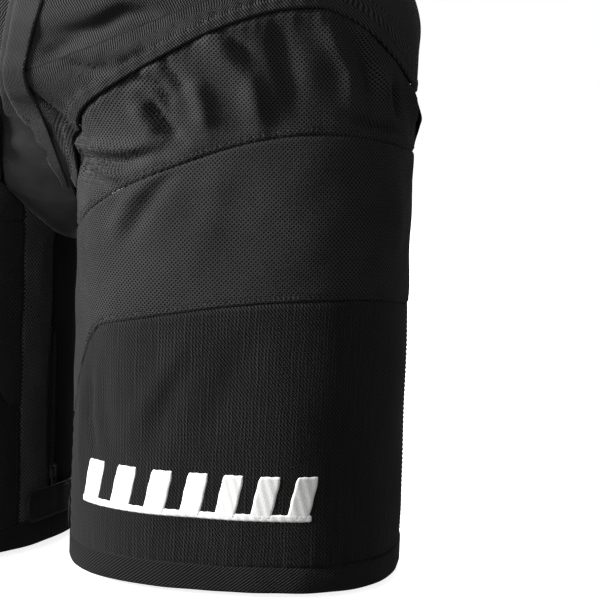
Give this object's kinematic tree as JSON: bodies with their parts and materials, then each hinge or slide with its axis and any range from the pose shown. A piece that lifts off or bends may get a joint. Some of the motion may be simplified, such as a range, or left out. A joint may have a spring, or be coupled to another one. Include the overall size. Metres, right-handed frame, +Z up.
{
  "type": "hockey pants",
  "caption": "Padded ice hockey pants with swinging legs, flex mesh, inner-leg zips, hem tabs, a belt buckle and brace buttons.",
  "frame": {"origin": "middle of the waist opening, level with the top of the waistband", "axes": "+X to the wearer's left, -Y to the wearer's front, +Z up"},
  "size_m": [0.5342, 0.3031, 0.565],
  "materials": {
    "heavy_twill": "woven, matt",
    "stretch_twill": "fine weave, soft sheen",
    "sports_mesh": "holed knit, soft sheen",
    "satin_stretch": "smooth, satin",
    "webbing": "ribbed, matt",
    "white_thread": "satin-stitched thread",
    "pad_foam": "closed-cell foam in a cloth cover",
    "guard_plastic": "moulded polyethylene",
    "black_plastic": "moulded, fine texture",
    "zip_tape": "woven tape with moulded teeth",
    "zip_plastic": "moulded"
  },
  "bodies": {
    "trunk": {"left_waistband": "heavy_twill", "left_front_panel": "stretch_twill", "left_seat_panel": "stretch_twill", "left_hip_cap": "guard_plastic", "left_hip_pad": "pad_foam", "left_kidney_pad": "pad_foam", "left_belt_loop": "webbing", "left_brace_button_inner": "black_plastic", "left_brace_button_outer": "black_plastic", "right_waistband": "heavy_twill", "right_front_panel": "stretch_twill", "right_seat_panel": "stretch_twill", "right_hip_cap": "guard_plastic", "right_hip_pad": "pad_foam", "right_kidney_pad": "pad_foam", "right_belt_loop": "webbing", "right_brace_button_inner": "black_plastic", "right_brace_button_outer": "black_plastic", "fly_placket": "webbing", "fly_underlap": "stretch_twill", "spine_pad": "pad_foam", "crotch_gusset": "satin_stretch", "buckle_socket": "black_plastic", "right_belt_strap": "webbing"},
    "left_leg": {"left_thigh_panel": "heavy_twill", "left_middle_mesh_panel": "sports_mesh", "left_upper_mesh_panel": "sports_mesh", "left_stretch_panel": "sports_mesh", "left_back_thigh_panel": "heavy_twill", "left_inner_panel_front": "sports_mesh", "left_inner_panel_back": "heavy_twill", "left_hem_band": "heavy_twill", "left_thigh_guard": "guard_plastic", "left_thigh_pad": "pad_foam", "left_zip_stringer_front": "zip_tape", "left_zip_stringer_back": "zip_tape", "left_thigh_mark": "white_thread"},
    "left_zip_slider_body": {"left_zip_slider": "zip_plastic"},
    "left_zip_pull_body": {"left_zip_pull": "zip_plastic"},
    "left_hem_tab_body": {"left_hem_tab": "satin_stretch"},
    "right_leg": {"right_thigh_panel": "heavy_twill", "right_middle_mesh_panel": "sports_mesh", "right_upper_mesh_panel": "sports_mesh", "right_stretch_panel": "sports_mesh", "right_back_thigh_panel": "heavy_twill", "right_inner_panel_front": "sports_mesh", "right_inner_panel_back": "heavy_twill", "right_hem_band": "heavy_twill", "right_thigh_guard": "guard_plastic", "right_thigh_pad": "pad_foam", "right_zip_stringer_front": "zip_tape", "right_zip_stringer_back": "zip_tape"},
    "right_zip_slider_body": {"right_zip_slider": "zip_plastic"},
    "right_zip_pull_body": {"right_zip_pull": "zip_plastic"},
    "right_hem_tab_body": {"right_hem_tab": "satin_stretch"},
    "belt_left_end": {"buckle_plug": "black_plastic", "left_belt_strap": "webbing"}
  },
  "joints": [
    {"name": "left_leg_swing", "type": "hinge", "parent": "trunk", "child": "left_leg", "pos_m": [0.138, -0.02, -0.175], "axis": [-1, 0, 0], "range_deg": [-8, 35], "stiffness_Nm_per_rad": 2.5, "deforming": ["left_upper_mesh_panel", "left_stretch_panel"]},
    {"name": "left_zip_slide", "type": "slide", "parent": "left_leg", "child": "left_zip_slider_body", "axis": [0, 0, 1], "range_m": [0, 0.104]},
    {"name": "left_zip_pull_tilt", "type": "hinge", "parent": "left_zip_slider_body", "child": "left_zip_pull_body", "pos_m": [0.0088, -0.02052, -0.5084], "axis": [-0.1705, 0.9854, 0], "range_deg": [0, 40]},
    {"name": "left_hem_tab_open", "type": "hinge", "parent": "left_leg", "child": "left_hem_tab_body", "pos_m": [0.0135, 0.0275, -0.5335], "axis": [0, 0, -1], "range_deg": [0, 9]},
    {"name": "right_leg_swing", "type": "hinge", "parent": "trunk", "child": "right_leg", "pos_m": [-0.138, -0.02, -0.175], "axis": [-1, 0, 0], "range_deg": [-8, 35], "stiffness_Nm_per_rad": 2.5, "deforming": ["right_upper_mesh_panel", "right_stretch_panel"]},
    {"name": "right_zip_slide", "type": "slide", "parent": "right_leg", "child": "right_zip_slider_body", "axis": [0, 0, 1], "range_m": [0, 0.104]},
    {"name": "right_zip_pull_tilt", "type": "hinge", "parent": "right_zip_slider_body", "child": "right_zip_pull_body", "pos_m": [-0.0088, -0.02052, -0.5084], "axis": [-0.1705, -0.9854, 0], "range_deg": [0, 40]},
    {"name": "right_hem_tab_open", "type": "hinge", "parent": "right_leg", "child": "right_hem_tab_body", "pos_m": [-0.0135, 0.0275, -0.5335], "axis": [0, 0, 1], "range_deg": [0, 9]},
    {"name": "belt_release", "type": "slide", "parent": "trunk", "child": "belt_left_end", "axis": [1, 0, 0], "range_m": [0, 0.03]}
  ]
}
